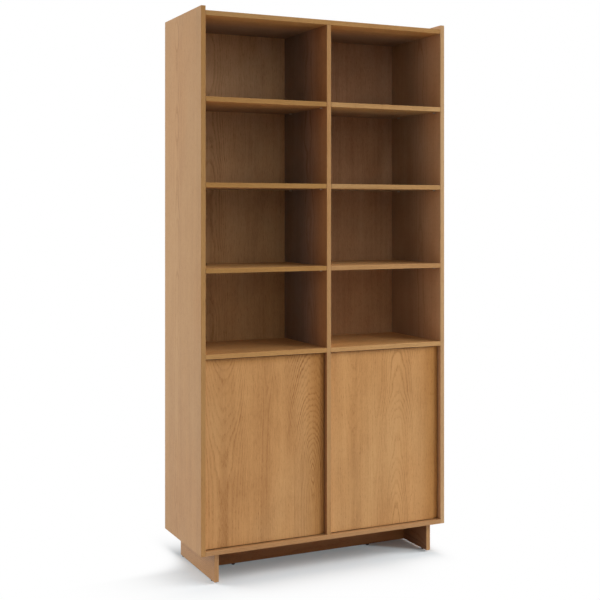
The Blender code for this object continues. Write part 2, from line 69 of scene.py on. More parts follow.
def linear(red, green, blue):
    """A colour as seen, 0 to 255, as the shader takes it."""
    shares = [level / 255 for level in (red, green, blue)]
    return [
        share / 12.92 if share <= 0.04045 else ((share + 0.055) / 1.055) ** 2.4
        for share in shares
    ]


# What a user would change
def tone(name, description, colour):
    return FloatVectorProperty(
        name=name, description=description, subtype="COLOR", size=3, min=0, max=1,
        default=linear(*colour),
    )


def share(name, description, default):
    return FloatProperty(
        name=name, description=description, subtype="FACTOR", min=0, max=1, default=default
    )


def length(name, description, default):
    return FloatProperty(
        name=name, description=description, unit="LENGTH", min=0, default=default
    )


def light(name, description, default):
    return FloatProperty(name=name, description=description, default=default)


class BookcaseOak(bpy.types.PropertyGroup):
    """Colours and grain of the veneer"""

    light: tone("Light Oak", "The palest wood, between the growth rings", (204, 158, 112))
    middle: tone("Middle Oak", "The wood's usual colour", (187, 139, 93))
    dark: tone("Dark Oak", "Pores and the start of each ring", (146, 98, 56))
    ring: length("Ring Spacing", "Width of one growth ring on the face", 0.0056)
    ring_depth: share("Ring Depth", "How much darker a ring starts", 0.24)
    streak_depth: share("Streak Depth", "How far broad streaks change the tone", 0.42)
    pore_depth: share("Pore Depth", "How dark the pores are", 0.45)
    roughness: share("Roughness", "Roughness of the satin lacquer", 0.46)


class BookcaseHardware(bpy.types.PropertyGroup):
    """Colours of the metal and plastic pieces"""

    nickel: tone("Nickel", "Shelf pins", (200, 194, 184))
    zinc: tone("Zinc Plate", "Strikes and the catches' screws", (182, 180, 176))
    bronze: tone("Bronze Plate", "Pivot plates and their screws", (92, 70, 50))
    nylon: tone("Nylon", "Door bushes", (66, 47, 34))
    housing: tone("Catch Plastic", "Housings of the magnetic catches", (96, 66, 44))
    magnet: tone("Pole Steel", "Poles of the magnets", (120, 118, 114))
    glide: tone("Glide Plastic", "Feet under the base", (20, 19, 18))


class BookcaseStudio(bpy.types.PropertyGroup):
    """Camera, lights and floor"""

    lens: FloatProperty(
        name="Lens", description="Focal length on a 36 mm film", subtype="DISTANCE_CAMERA",
        default=66.74,
    )
    heading: FloatProperty(
        name="Heading", description="The camera's turn about the vertical", subtype="ANGLE",
        default=math.radians(-25.38),
    )
    drop: FloatProperty(
        name="Drop", description="How far the level view is shifted down", default=0.1461
    )
    station: FloatVectorProperty(
        name="Station", description="Where the camera stands", subtype="TRANSLATION",
        unit="LENGTH", size=3, default=(-1.8511, -3.8503, 1.3094),
    )
    sky: light("Sky", "Even light from all round", 0.02)
    key: light("Key", "Light from the right, across the front", 0.143)
    fill: light("Fill", "Light from the right and above", 0.094)
    front: light("Front", "Light from the front", 0.041)
    left: light("Left", "Light from the left, across the front", 0.035)
    side: light("Side", "Light on the left side, from behind it", 0.208)
    floor: share("Floor", "How pale the floor is", 0.75)
    floor_shade: share(
        "Floor Shade", "How bright the camera sees the darkest shadow on the floor", 0.13
    )
    floor_light: share(
        "Floor Light", "How far light brightens the floor that the camera sees", 0.74
    )
    shadow_reach: length(
        "Shadow Reach", "How far from the base the shadow has faded by two thirds", 0.10
    )


# Node graphs
class Graph:
    """Adds nodes to a tree and joins them up."""

    # Where nodes are laid out, row by row
    ROW = 12
    PITCH = (190, -260)

    # First input, second input and output of the mix node
    MIX_SOCKETS = {"FLOAT": (2, 3, 0), "RGBA": (6, 7, 2)}

    def __init__(self, tree):
        self.tree = tree
        self.count = 0

    def add(self, kind, *values, **settings):
        node = self.tree.nodes.new(kind)
        row, column = divmod(self.count, self.ROW)
        node.location = (column * self.PITCH[0], row * self.PITCH[1])
        self.count += 1
        for name, value in settings.items():
            setattr(node, name, value)
        for socket, value in zip(node.inputs, values):
            self.feed(socket, value)
        return node

    def feed(self, socket, value):
        """Joins a socket to another one, or sets its value."""
        if isinstance(value, bpy.types.NodeSocket):
            self.tree.links.new(value, socket)
        else:
            socket.default_value = value

    def math(self, operation, *values):
        return self.add("ShaderNodeMath", *values, operation=operation).outputs[0]

    def sum(self, first, *others):
        for other in others:
            first = self.math("ADD", first, other)
        return first

    def product(self, first, *others):
        for other in others:
            first = self.math("MULTIPLY", first, other)
        return first

    def weigh(self, base, layers, weights):
        """The base, with each layer that has a weight added by it."""
        return self.sum(
            base, *(self.product(layers[name], weight) for name, weight in weights.items())
        )

    def above(self, value, low):
        """How far a value is above another, or 0 where it is below it."""
        return self.math("MAXIMUM", self.math("SUBTRACT", value, low), 0.0)

    def step(self, value, low, high, start=0.0, end=1.0):
        """A smooth change from start to end while value goes from low to high."""
        node = self.add("ShaderNodeMapRange", interpolation_type="SMOOTHSTEP")
        for socket, item in zip(node.inputs, (value, low, high, start, end)):
            self.feed(socket, item)
        return node.outputs[0]

    def vector(self, *parts):
        return self.add("ShaderNodeCombineXYZ", *parts).outputs[0]

    def parts(self, vector):
        """The parts of a vector, by axis."""
        return dict(zip(AXES, self.add("ShaderNodeSeparateXYZ", vector).outputs))

    def object_place(self):
        return self.add("ShaderNodeTexCoord").outputs["Object"]

    def noise(self, vector, scale=1.0, detail=2.0, roughness=0.5):
        node = self.add("ShaderNodeTexNoise")
        self.feed(node.inputs["Vector"], vector)
        self.feed(node.inputs["Scale"], scale)
        self.feed(node.inputs["Detail"], detail)
        self.feed(node.inputs["Roughness"], roughness)
        return node.outputs["Fac"]

    def mix(self, share_of, first, second, kind="FLOAT", blend="MIX"):
        """What lies between two numbers, or between two of another kind."""
        node = self.add("ShaderNodeMix", data_type=kind, blend_type=blend)
        first_input, second_input, output = self.MIX_SOCKETS[kind]
        self.feed(node.inputs[0], share_of)
        self.feed(node.inputs[first_input], first)
        self.feed(node.inputs[second_input], second)
        return node.outputs[output]

    def blend(self, share_of, first, second):
        """A colour between two others."""
        return self.mix(share_of, first, second, "RGBA")

    def stain(self, share_of, first, second):
        """A colour multiplied by another one."""
        return self.mix(share_of, first, second, "RGBA", "MULTIPLY")

    def relief(self, shader, height, strength, distance):
        """Makes a shader's surface rise and sink with a height."""
        bump = self.add("ShaderNodeBump")
        bump.inputs["Strength"].default_value = strength
        bump.inputs["Distance"].default_value = distance
        self.feed(bump.inputs["Height"], height)
        self.feed(shader.inputs["Normal"], bump.outputs["Normal"])


SHADER_PLACE = (2600, 0)


def material_graph(name):
    """A new material, its graph and its shader, which stands right of all that feeds it."""
    material = bpy.data.materials.new(name)
    material.use_nodes = True
    shader = material.node_tree.nodes["Principled BSDF"]
    shader.location = SHADER_PLACE
    return material, Graph(material.node_tree), shader


def colour(values):
    return (*values, 1.0)


# The veneer
VENEER = "oak veneer"
PLAIN = (1, 1, 1)

# An end so low that a heart has none, and a streak so far aside that it misses the sheet
NO_END = -9.0
NO_STREAK = 9.0


class Heart(NamedTuple):
    """The middle of the log under a sheet: beside it rings show as lines, over it as arches.

    It lies under centre, across the sheet, at a depth that grows along the sheet by slope. Its
    arches close at end, and bold is the strength of its rings.
    """

    centre: float
    depth: float
    slope: float
    end: float = NO_END
    bold: float = 1.0


def heart_values(hearts):
    """The figures of both hearts, by the names of the veneer's inputs."""
    return {
        f"{field.title()} {number}": value
        for number, heart in enumerate(hearts, 1)
        for field, value in heart._asdict().items()
    }


OAK_INPUTS = {
    "Across": 0.0, "Along": 0.0, "Through": 0.0, "On Edge": 0.0, "On End": 0.0, "Seed": 0.0,
    **heart_values([Heart(centre=0.0, depth=0.1, slope=0.02)] * 2),
    "Change": 0.0, "Streak": NO_STREAK, "Contrast": 1.0, "Seam": 0.0, "Tint": colour(PLAIN),
}
OAK_OUTPUTS = {
    "Colour": "NodeSocketColor", "Roughness": "NodeSocketFloat", "Height": "NodeSocketFloat",
}


class Pattern(NamedTuple):
    """A noise over the grain, with its pace across and along it and its place in the noise."""

    across: float
    along: float
    place: float
    detail: float = 2.0
    roughness: float = 0.5


PATTERNS = {
    "drift": Pattern(2.2, 1.1, 3.1),
    "waver": Pattern(26, 5, 7.7),
    "slip": Pattern(190, 5, 13.3, detail=1.0),
    "bulge": Pattern(3, 4.5, 11.3),
    "spacing": Pattern(9, 0.5, 17.9),
    "figure": Pattern(7, 3.2, 57.0),
    "pores": Pattern(1500, 60, 23.0, detail=1.0),
    "fibres": Pattern(520, 9, 29.0, detail=3.0, roughness=0.6),
    "flecks": Pattern(420, 120, 31.0, detail=1.0),
    "broad": Pattern(15, 0.8, 37.0, detail=3.0, roughness=0.55),
    "narrow": Pattern(75, 2.4, 41.0),
    "cloud": Pattern(12, 7, 45.0, detail=3.0, roughness=0.6),
    "dashes": Pattern(300, 42, 51.0, detail=1.0),
    "patch": Pattern(4, 1.4, 43.0),
    "streak": Pattern(20, 3.5, 53.0),
}

# Where in the patterns the bands on edges and on ends lie
EDGE_PLACE = 0.37
END_PLACE = 0.61

# How far the patterns move the lines, the strands and the hearts, in metres, and how many
# rings they add or take away
DRIFT = 0.034
WAVER = 0.0042
SLIP = 0.026
BULGE = 0.028
SPACING = 1.6

# How round an arch's top is, and how strong rings are: the weakest, and those far from a heart
ARCH_ROUNDING = 0.12
RING_LEAST = 0.2
FAR_BOLD = 0.42

# Smooth steps, from where to where and, if not 0 and 1, from what to what
BULGE_ABOVE_END = (-0.08, 0.04, 0.3, 1.0)
HEART_CHANGE = (-0.07, 0.07)
FAR = (0.05, 0.12)
OVER_HEART = (0.0, 0.022, 0.62, 1.0)
FIGURE = (0.36, 0.60, 0.5, 1.25)
RING_START = (0.0, 0.14)
RING_FADE = (0.18, 0.62, 1.0, 0.0)
PORE_EDGE = (0.56, 0.68)
STREAK_EDGE = (0.004, 0.036, 1.0, 0.0)
STREAK_BREAKS = (0.3, 0.55)
COOLER = (-0.14, 0.14)

# Share of the pores that stand outside the start of a ring
LATE_PORES = 0.22

# How far each layer changes the tone, as a share of the streaks' depth or by itself
BROAD_SHARE = 1.3
NARROW_SHARE = 0.5
DARK_SHARE = 0.36
TONE_WEIGHTS = {"cloud": 0.36, "patch": 0.24, "dashes": 0.20, "fibres": 0.24, "flecks": 0.16}
ROUGHNESS_WEIGHTS = {"pores": 0.16, "fibres": 0.10, "early": 0.04}
HEIGHT_WEIGHTS = {"pores": -0.7, "early": -0.18, "fibres": 0.35, "seam": -0.6}

# Places on the scale from dark to light oak: of plain wood, and of the middle colour
TONE_PLACE = 0.53
MIDDLE_PLACE = 0.52

# Tints of the warmer and the cooler places and of the seams, and how dark a seam is
WARM_TINT = (1.01, 0.99, 0.96)
COOL_TINT = (0.985, 1.01, 1.04)
SEAM_TONE = (0.30, 0.19, 0.11)
SEAM_DEPTH = 0.45


def oak_group(oak):
    """Crown-cut oak veneer: growth rings round two hearts, pores, fibres and broad streaks."""
    group = bpy.data.node_groups.new(VENEER, "ShaderNodeTree")
    for name, default in OAK_INPUTS.items():
        kind = "NodeSocketColor" if name == "Tint" else "NodeSocketFloat"
        socket = group.interface.new_socket(name, in_out="INPUT", socket_type=kind)
        socket.default_value = default
    for name, kind in OAK_OUTPUTS.items():
        group.interface.new_socket(name, in_out="OUTPUT", socket_type=kind)
    g = Graph(group)
    given = g.add("NodeGroupInput").outputs
    seed = given["Seed"]

    # A board's edges and ends carry bands, with the grain along them
    edge = g.sum(given["Through"], EDGE_PLACE)
    end = g.sum(given["Through"], END_PLACE)
    across = g.mix(given["On End"], g.mix(given["On Edge"], given["Across"], edge), end)
    along = g.mix(given["On End"], given["Along"], given["Across"])

    def pattern(name):
        look = PATTERNS[name]
        parts = g.product(across, look.across), g.product(along, look.along)
        place = g.vector(*parts, g.sum(seed, look.place))
        return g.noise(place, detail=look.detail, roughness=look.roughness)

    def swing(name):
        """A pattern's swing to both sides of its middle."""
        return g.sum(pattern(name), -0.5)

    # Lines drift slowly sideways and waver a little
    drift = g.product(swing("drift"), DRIFT)
    waver = g.product(swing("waver"), WAVER)
    place = g.sum(across, drift, waver)

    # Strands slip along each other a little, which feathers the arches
    slipped = g.sum(along, g.product(swing("slip"), SLIP))

    def rings(number, side):
        """How far the wood is from a heart: the rings are steps of it."""
        end = given[f"End {number}"]
        height = g.math("SMOOTH_MAX", slipped, end, ARCH_ROUNDING)
        above_end = g.step(g.math("SUBTRACT", slipped, end), *BULGE_ABOVE_END)
        bulge = g.product(swing("bulge"), above_end, BULGE)
        slope = g.product(given[f"Slope {number}"], height)
        deep = g.sum(given[f"Depth {number}"], slope, bulge)
        return g.math("SQRT", g.sum(g.product(side, side), g.product(deep, deep)))

    sides = [g.math("SUBTRACT", place, given[f"Centre {number}"]) for number in (1, 2)]
    second = g.step(g.math("SUBTRACT", across, given["Change"]), *HEART_CHANGE)
    radius = g.mix(second, *(rings(number, side) for number, side in enumerate(sides, 1)))
    away = g.math("ABSOLUTE", g.mix(g.math("GREATER_THAN", second, 0.5), *sides))
    spacing = g.product(swing("spacing"), SPACING)
    phase = g.sum(g.math("DIVIDE", radius, oak.ring), spacing, seed)
    part = g.math("FRACT", phase)

    # Each ring has a strength of its own, and all are weaker far from a heart and right over it
    strength = g.add("ShaderNodeTexWhiteNoise", noise_dimensions="1D")
    g.feed(strength.inputs["W"], g.math("FLOOR", phase))
    own = g.sum(RING_LEAST, g.product(strength.outputs["Value"], 1 - RING_LEAST))
    bold = g.mix(second, given["Bold 1"], given["Bold 2"])
    bold = g.mix(g.step(away, *FAR), bold, FAR_BOLD)
    bold = g.product(bold, g.step(away, *OVER_HEART), g.step(pattern("figure"), *FIGURE))
    ring_share = g.product(own, bold)
    early = g.product(g.step(part, *RING_START), g.step(part, *RING_FADE))

    # Pores crowd at the start of each ring
    crowd = g.sum(LATE_PORES, g.product(early, 1 - LATE_PORES))
    pores = g.product(g.step(pattern("pores"), *PORE_EDGE), crowd)

    # Broad streaks, a darker one at a given place, clouds of a hand's width and short dashes
    off_streak = g.math("ABSOLUTE", g.math("SUBTRACT", place, given["Streak"]))
    streak = g.product(
        g.step(off_streak, *STREAK_EDGE), g.step(pattern("streak"), *STREAK_BREAKS)
    )
    layers = {name: swing(name) for name in TONE_WEIGHTS}
    layers.update(pores=pores, early=early, seam=given["Seam"])
    streaks = g.sum(
        g.product(swing("broad"), oak.streak_depth, BROAD_SHARE),
        g.product(streak, oak.streak_depth, -DARK_SHARE),
        g.product(swing("narrow"), oak.streak_depth, NARROW_SHARE),
    )
    change = g.sum(
        g.weigh(streaks, layers, TONE_WEIGHTS),
        g.product(early, ring_share, -oak.ring_depth),
        g.product(pores, -oak.pore_depth),
    )
    level = g.sum(TONE_PLACE, g.product(change, given["Contrast"]))
    ramp = g.add("ShaderNodeValToRGB", level)
    stops = ramp.color_ramp.elements
    stops[0].position, stops[0].color = 0.0, colour(oak.dark)
    stops[1].position, stops[1].color = 1.0, colour(oak.light)
    stops.new(MIDDLE_PLACE).color = colour(oak.middle)

    # Some places are warmer and others cooler, and the seam beside a band is a fine dark line
    cooler = g.step(layers["patch"], *COOLER)
    warmth = g.blend(cooler, colour(WARM_TINT), colour(COOL_TINT))
    toned = g.stain(1.0, ramp.outputs["Color"], warmth)
    # The tint brings each piece's own tone together with the painted light and shade of its place
    toned = g.stain(1.0, toned, given["Tint"])
    seamed = g.blend(g.product(given["Seam"], SEAM_DEPTH), toned, colour(SEAM_TONE))

    out = g.add("NodeGroupOutput")
    g.feed(out.inputs["Colour"], seamed)
    g.feed(out.inputs["Roughness"], g.weigh(oak.roughness, layers, ROUGHNESS_WEIGHTS))
    g.feed(out.inputs["Height"], g.weigh(0.0, layers, HEIGHT_WEIGHTS))
    return group


def find_oak_group():
    return bpy.data.node_groups.get(VENEER) or oak_group(bpy.context.scene.bookcase_oak)


# Sheets of veneer on the boards
FRONT_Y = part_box("left_side_panel")[0].y
BAND_THICKNESS = 0.0009
SEAM_WIDTH = 0.00016
FRONT_BAND = (("Y", FRONT_Y + BAND_THICKNESS),)

# How strongly the satin lacquer reflects, and the relief of the grain under it
SATIN_GLOSS = 0.30
GRAIN_STRENGTH = 0.35
GRAIN_DEPTH = 0.00012

# A face looks along an axis where its normal's part on that axis is more than this
SQUARE_ON = 0.7

# Where a board's heart lies, if it isn't given: its seed moves it about in this width
HEART_PACE = 0.37
HEART_SPAN = 0.5
HEART_DEPTH = 0.09
HEART_SLOPE = 0.015

# How far the colour of each piece's veneer departs from the rest. They were matched to how
# bright each piece looks, so they are partly the veneer's own tone and partly painted light and
# shade
TONE_AND_SHADE_TINTS = {
    "left_side_panel": (0.93, 0.98, 0.97),
    "right_side_panel": (0.93, 0.98, 0.97),
    "top_panel": (0.96, 0.99, 0.88),
    "bottom_panel": (0.96, 0.98, 0.96),
    "left_fixed_shelf": (0.97, 0.92, 0.78),
    "right_fixed_shelf": (1.14, 1.14, 1.00),
    "left_shelf_1": (1.00, 1.00, 0.90),
    "left_shelf_2": (0.98, 1.00, 0.88),
    "left_shelf_3": (0.98, 1.00, 0.88),
    "right_shelf_1": (1.04, 1.12, 1.07),
    "right_shelf_2": (1.00, 1.06, 1.00),
    "right_shelf_3": (1.00, 1.06, 1.02),
    "left_door": (1.12, 1.13, 1.02),
    "right_door": (1.16, 1.17, 1.05),
    "left_base_side": (0.88, 0.91, 0.93),
    "right_base_side": (0.95, 1.00, 1.00),
    # The base rail is painted darker as shade, for the shadow under the cabinet
    "base_rail": (0.70, 0.57, 0.45),
}

# The same for the bands on the boards' edges
BAND_TONE_AND_SHADE_TINTS = {
    "left_side_panel": (0.89, 0.89, 0.72),
    "centre_divider": (0.95, 0.97, 0.90),
    "right_side_panel": (1.11, 1.30, 1.50),
    "top_panel": (0.94, 0.98, 0.83),
    "left_fixed_shelf": (0.95, 0.98, 0.82),
    "right_fixed_shelf": (1.07, 1.16, 1.11),
    "left_shelf_1": (0.84, 0.83, 0.62),
    "left_shelf_2": (0.82, 0.82, 0.60),
    "left_shelf_3": (0.83, 0.83, 0.60),
    "right_shelf_1": (1.05, 1.15, 1.10),
    "right_shelf_2": (0.93, 0.99, 0.91),
    "right_shelf_3": (0.98, 1.04, 1.00),
    "bottom_panel": (0.91, 0.92, 0.91),
    "left_base_side": (0.88, 0.91, 0.90),
    "right_base_side": (1.14, 1.20, 1.20),
}

# Painted shade on the doors: darker towards the grip, where the upright beside each recessed
# door shades it, at their heads under the shelf above, and on their ends, which lie in the gaps
GRIP_SHADE_TINT = (0.82, 0.70, 0.46)
GRIP_SHADE_REACH = 0.10
HEAD_SHADE_TINTS = {"left_door": (0.86, 0.81, 0.68), "right_door": (0.96, 0.95, 0.91)}
HEAD_SHADE_REACH = 0.035
DOOR_END_SHADE_TINT = (0.85, 0.66, 0.40)

# Painted light and shade on faces that look left, forward or down into the bookcase: the axis
# that their painted tint changes along, and the tints at its low and its high end
INSIDE_SHADE = {
    "right_side_panel": ("Y", (1.32, 1.37, 1.60), (0.92, 1.34, 2.15)),
    "centre_divider": ("Y", (0.92, 0.79, 0.72), (0.57, 0.88, 1.80)),
    "left_back_panel": ("Z", (1.06, 1.15, 1.14), (1.21, 1.44, 1.78)),
    "right_back_panel": ("Z", (1.06, 1.14, 1.30), (0.90, 1.01, 1.34)),
    "top_panel": ("Y", (1.36, 1.26, 0.88), (0.62, 0.84, 1.35)),
    "left_shelf_1": ("Y", (1.30, 1.18, 0.88), (0.74, 0.86, 1.04)),
    "left_shelf_2": ("Y", (1.30, 1.18, 0.88), (0.74, 0.86, 1.04)),
    "right_shelf_1": ("Y", (1.12, 1.20, 1.04), (0.70, 0.88, 1.18)),
    "right_shelf_2": ("Y", (1.12, 1.20, 1.04), (0.70, 0.88, 1.18)),
    # Painted shade on the right base side's inner face, which lies in the shadow under the cabinet
    "right_base_side": ("Y", (0.50, 0.42, 0.42), (0.50, 0.42, 0.42)),
}
INSIDE_SHADE_REACH = 0.26
BAY_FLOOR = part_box("left_fixed_shelf")[1].z
INSIDE_SHADE_SPANS = {
    "Y": (FRONT_Y, FRONT_Y + INSIDE_SHADE_REACH),
    "Z": (BAY_FLOOR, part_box("top_panel")[0].z),
}

# Painted light on the backs: paler under each shelf than over it, and the left one paler
# towards its left edge
BAY_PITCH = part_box("left_shelf_3")[1].z - BAY_FLOOR
BAY_LIGHT_TINTS = ((0.86, 0.84, 0.84), (1.26, 1.30, 1.32))
BACK_LIGHT_TONES = {"left_back_panel": (1.14, 0.90)}


def inner_shade_tint(g, name, spot):
    """The painted light and shade on a face that looks into the bookcase."""
    axis, first, last = INSIDE_SHADE[name]
    tint = g.blend(g.step(spot[axis], *INSIDE_SHADE_SPANS[axis]), colour(first), colour(last))
    # Painted light on the backs: paler under each shelf, and the left one towards its left edge
    if name.endswith("_back_panel"):
        above_floor = g.math("SUBTRACT", spot["Z"], BAY_FLOOR)
        bay = g.math("FRACT", g.math("DIVIDE", above_floor, BAY_PITCH))
        tint = g.stain(1.0, tint, g.blend(bay, *(colour(end) for end in BAY_LIGHT_TINTS)))
    if name in BACK_LIGHT_TONES:
        low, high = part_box(name)
        tint = g.stain(1.0, tint, g.step(spot["X"], low.x, high.x, *BACK_LIGHT_TONES[name]))
    return tint


def sheet_tone_and_shade(g, name, spot, outward, on_edge, on_end, corner):
    """How far the colour of a board departs from plain oak, by face and place, with painted light
    and shade inside the bookcase and on the doors.
    """
    tint = colour(TONE_AND_SHADE_TINTS.get(name, PLAIN))
    # Painted light and shade on faces that look into the bookcase
    if name in INSIDE_SHADE:
        inward = g.math("LESS_THAN", outward, -SQUARE_ON)
        tint = g.blend(inward, tint, inner_shade_tint(g, name, spot))
    # Painted shade on the doors: towards the grip, under the head, and on the ends in the gaps
    if corner is not None:
        grip_shade = g.step(spot["X"], corner.x - GRIP_SHADE_REACH, corner.x)
        head_shade = g.step(spot["Z"], corner.z - HEAD_SHADE_REACH, corner.z)
        tint = g.stain(grip_shade, tint, colour(GRIP_SHADE_TINT))
        tint = g.stain(head_shade, tint, colour(HEAD_SHADE_TINTS[name]))
        tint = g.blend(on_end, tint, colour(DOOR_END_SHADE_TINT))
    if name in BAND_TONE_AND_SHADE_TINTS:
        tint = g.blend(on_edge, tint, colour(BAND_TONE_AND_SHADE_TINTS[name]))
    return tint


def seam(g, spot, bands):
    """1 on the fine lines between the face's sheet and the bands on its edges."""
    gaps = [g.math("ABSOLUTE", g.math("SUBTRACT", spot[axis], level)) for axis, level in bands]
    near = gaps[0]
    for gap in gaps[1:]:
        near = g.math("MINIMUM", near, gap)
    return g.step(near, SEAM_WIDTH / 2, SEAM_WIDTH, 1.0, 0.0)


def oak(
    name, grain, face, seed, hearts=None, change=0.0, streak=NO_STREAK, contrast=1.0, bands=(),
    corner=None,
):
    """A sheet of veneer. grain and face name the axes along the fibres and out of the face.

    change is where the first heart gives way to the second, bands are the planes of the seams,
    and corner is a door's corner over its grip.
    """
    material, g, shader = material_graph(name)
    where = g.add("ShaderNodeTexCoord").outputs
    spot = g.parts(where["Object"])
    facing = g.parts(where["Normal"])
    across = (set(AXES) - {grain, face}).pop()
    square = {
        axis: g.math("GREATER_THAN", g.math("ABSOLUTE", facing[axis]), SQUARE_ON)
        for axis in AXES
    }
    if hearts is None:
        centre = (seed * HEART_PACE) % HEART_SPAN - HEART_SPAN / 2
        hearts = [Heart(centre, HEART_DEPTH, HEART_SLOPE)] * 2
    # The tint holds the board's tone and its painted light and shade
    tint = sheet_tone_and_shade(g, name, spot, facing[face], square[across], square[grain], corner)
    veneer = g.add("ShaderNodeGroup", node_tree=find_oak_group())
    values = {
        "Across": spot[across],
        "Along": spot[grain],
        "Through": spot[face],
        "On Edge": square[across],
        "On End": square[grain],
        "Seed": seed,
        **heart_values(hearts),
        "Change": change,
        "Streak": streak,
        "Contrast": contrast,
        "Tint": tint,
    }
    if bands:
        values["Seam"] = g.product(seam(g, spot, bands), square[face])
    for socket, value in values.items():
        g.feed(veneer.inputs[socket], value)
    g.feed(shader.inputs["Base Color"], veneer.outputs["Colour"])
    g.feed(shader.inputs["Roughness"], veneer.outputs["Roughness"])
    shader.inputs["Specular IOR Level"].default_value = SATIN_GLOSS
    g.relief(shader, veneer.outputs["Height"], GRAIN_STRENGTH, GRAIN_DEPTH)
    return material


def dress(node, material):
    """Gives a packed piece its finish."""
    slots = NODES[node].data.materials
    slots.clear()
    slots.append(material)


def dress_oak(node, *sheet, **looks):
    """Gives a board a sheet of veneer of its own."""
    dress(node, oak(node, *sheet, **looks))


# Wooden pieces
# Each board's seed is its place in the patterns, so that no two boards are alike
SIDE_PANELS = {
    "left_side_panel": (1.3, Heart(0.06, depth=0.055, slope=0.012)),
    "right_side_panel": (2.9, Heart(-0.05, depth=0.055, slope=0.012)),
}
SIDE_CONTRAST = 0.75
DIVIDER_SEED = 4.6
TOP_AND_BOTTOM = {"top_panel": 5.2, "bottom_panel": 6.7}
SHELF_SEED = 7.1
SHELF_SEED_STEP = 1.37
BACK_PANELS = {
    "left_back_panel": (19.4, Heart(-0.33, depth=0.045, slope=0.02)),
    "right_back_panel": (21.8, Heart(0.13, depth=0.045, slope=0.02)),
}
BACK_CONTRAST = 1.3
DOORS = {
    "left_door": {
        "seed": 23.5,
        "hearts": (
            Heart(-0.416, depth=0.160, slope=-0.120, end=0.42, bold=0.8),
            Heart(-0.058, depth=-0.0875, slope=0.250, end=0.28, bold=2.2),
        ),
        "change": -0.25,
        "streak": -0.245,
    },
    "right_door": {
        "seed": 27.2,
        "hearts": (
            Heart(0.110, depth=0.100, slope=-0.075, end=0.50, bold=0.35),
            Heart(0.294, depth=0.004, slope=0.110, end=0.12, bold=1.5),
        ),
        "change": 0.205,
        "streak": 0.112,
    },
}
BASE_SIDES = {"left_base_side": 31.0, "right_base_side": 33.3}
BASE_RAIL_SEED = 35.9


class DressSides(bpy.types.Operator):
    """Upright oak veneer on both side panels"""

    bl_idname = "bookcase.side_panels"
    bl_label = "Side Panels"

    def execute(self, context):
        for name, (seed, heart) in SIDE_PANELS.items():
            dress_oak(
                name, "Z", "X", seed, [heart] * 2, bands=FRONT_BAND, contrast=SIDE_CONTRAST
            )
        return {"FINISHED"}


class DressDivider(bpy.types.Operator):
    """Upright oak veneer on the centre divider"""

    bl_idname = "bookcase.divider"
    bl_label = "Centre Divider"

    def execute(self, context):
        dress_oak("centre_divider", "Z", "X", DIVIDER_SEED, bands=FRONT_BAND)
        return {"FINISHED"}


class DressTopAndBottom(bpy.types.Operator):
    """Lengthwise oak veneer on the top and bottom panels"""

    bl_idname = "bookcase.top_and_bottom"
    bl_label = "Top and Bottom"

    def execute(self, context):
        for name, seed in TOP_AND_BOTTOM.items():
            dress_oak(name, "X", "Z", seed, bands=FRONT_BAND)
        return {"FINISHED"}


class DressShelves(bpy.types.Operator):
    """Lengthwise oak veneer on the fixed and the loose shelves"""

    bl_idname = "bookcase.shelves"
    bl_label = "Shelves"

    def execute(self, context):
        names = [name for name in sorted(NODES) if "_shelf" in name]
        for index, name in enumerate(names):
            seed = SHELF_SEED + index * SHELF_SEED_STEP
            dress_oak(name, "X", "Z", seed, bands=FRONT_BAND)
        return {"FINISHED"}


class DressBacks(bpy.types.Operator):
    """Upright oak veneer on the back panels"""

    bl_idname = "bookcase.back_panels"
    bl_label = "Back Panels"

    def execute(self, context):
        for name, (seed, heart) in BACK_PANELS.items():
            dress_oak(name, "Z", "Y", seed, [heart] * 2, contrast=BACK_CONTRAST)
        return {"FINISHED"}


class DressDoors(bpy.types.Operator):
    """Crown-cut oak veneer on the doors, with two arched figures on each"""

    bl_idname = "bookcase.doors"
    bl_label = "Doors"

    def execute(self, context):
        for name, figure in DOORS.items():
            low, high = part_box(name)
            bands = (
                ("X", low.x + BAND_THICKNESS),
                ("Z", low.z + BAND_THICKNESS),
                ("Z", high.z - BAND_THICKNESS),
            )
            dress_oak(name, "Z", "Y", bands=bands, corner=high, **figure)
        return {"FINISHED"}


class DressBase(bpy.types.Operator):
    """Lengthwise oak veneer on the base boards"""

    bl_idname = "bookcase.base"
    bl_label = "Base"

    def execute(self, context):
        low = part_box("left_base_side")[0]
        for name, seed in BASE_SIDES.items():
            dress_oak(name, "Y", "X", seed, bands=(("Y", low.y + BAND_THICKNESS),))
        dress_oak("base_rail", "X", "Y", BASE_RAIL_SEED)
        return {"FINISHED"}


# Finishes of the hardware
# Metal: paces of the drawn lines, by axis, and of the mottle, and what both do to the finish.
# It starts a little smoother than asked, because they add to its roughness.
LINE_PACES = {"X": 300, "Y": 5200, "Z": 5200}
MOTTLE_PACE = 260.0
METAL_TONE = 0.82
METAL_TONE_WEIGHTS = {"lines": 0.16, "mottle": 0.14}
METAL_SMOOTHER = 0.06
METAL_ROUGHNESS_WEIGHTS = {"lines": 0.08, "mottle": 0.06}
LINE_STRENGTH = 0.2
LINE_DEPTH = 0.00003

# Plastic: the same for its grit and its clouds
GRIT_PACE = 2600.0
CLOUD_PACE = 180.0
PLASTIC_TONE = 0.88
PLASTIC_TONE_WEIGHTS = {"cloud": 0.18, "grit": 0.06}
PLASTIC_SMOOTHER = 0.05
PLASTIC_ROUGHNESS_WEIGHTS = {"grit": 0.10}
GRIT_STRENGTH = 0.25
GRIT_DEPTH = 0.00004
FINE_DETAIL = 3.0


def paint(g, shader, tint, tone, roughness):
    """Gives a shader a tint, with a tone and a roughness that vary over it."""
    toned = g.add("ShaderNodeVectorMath", tuple(tint), operation="SCALE")
    g.feed(toned.inputs["Scale"], tone)
    g.feed(shader.inputs["Base Color"], toned.outputs[0])
    g.feed(shader.inputs["Roughness"], roughness)


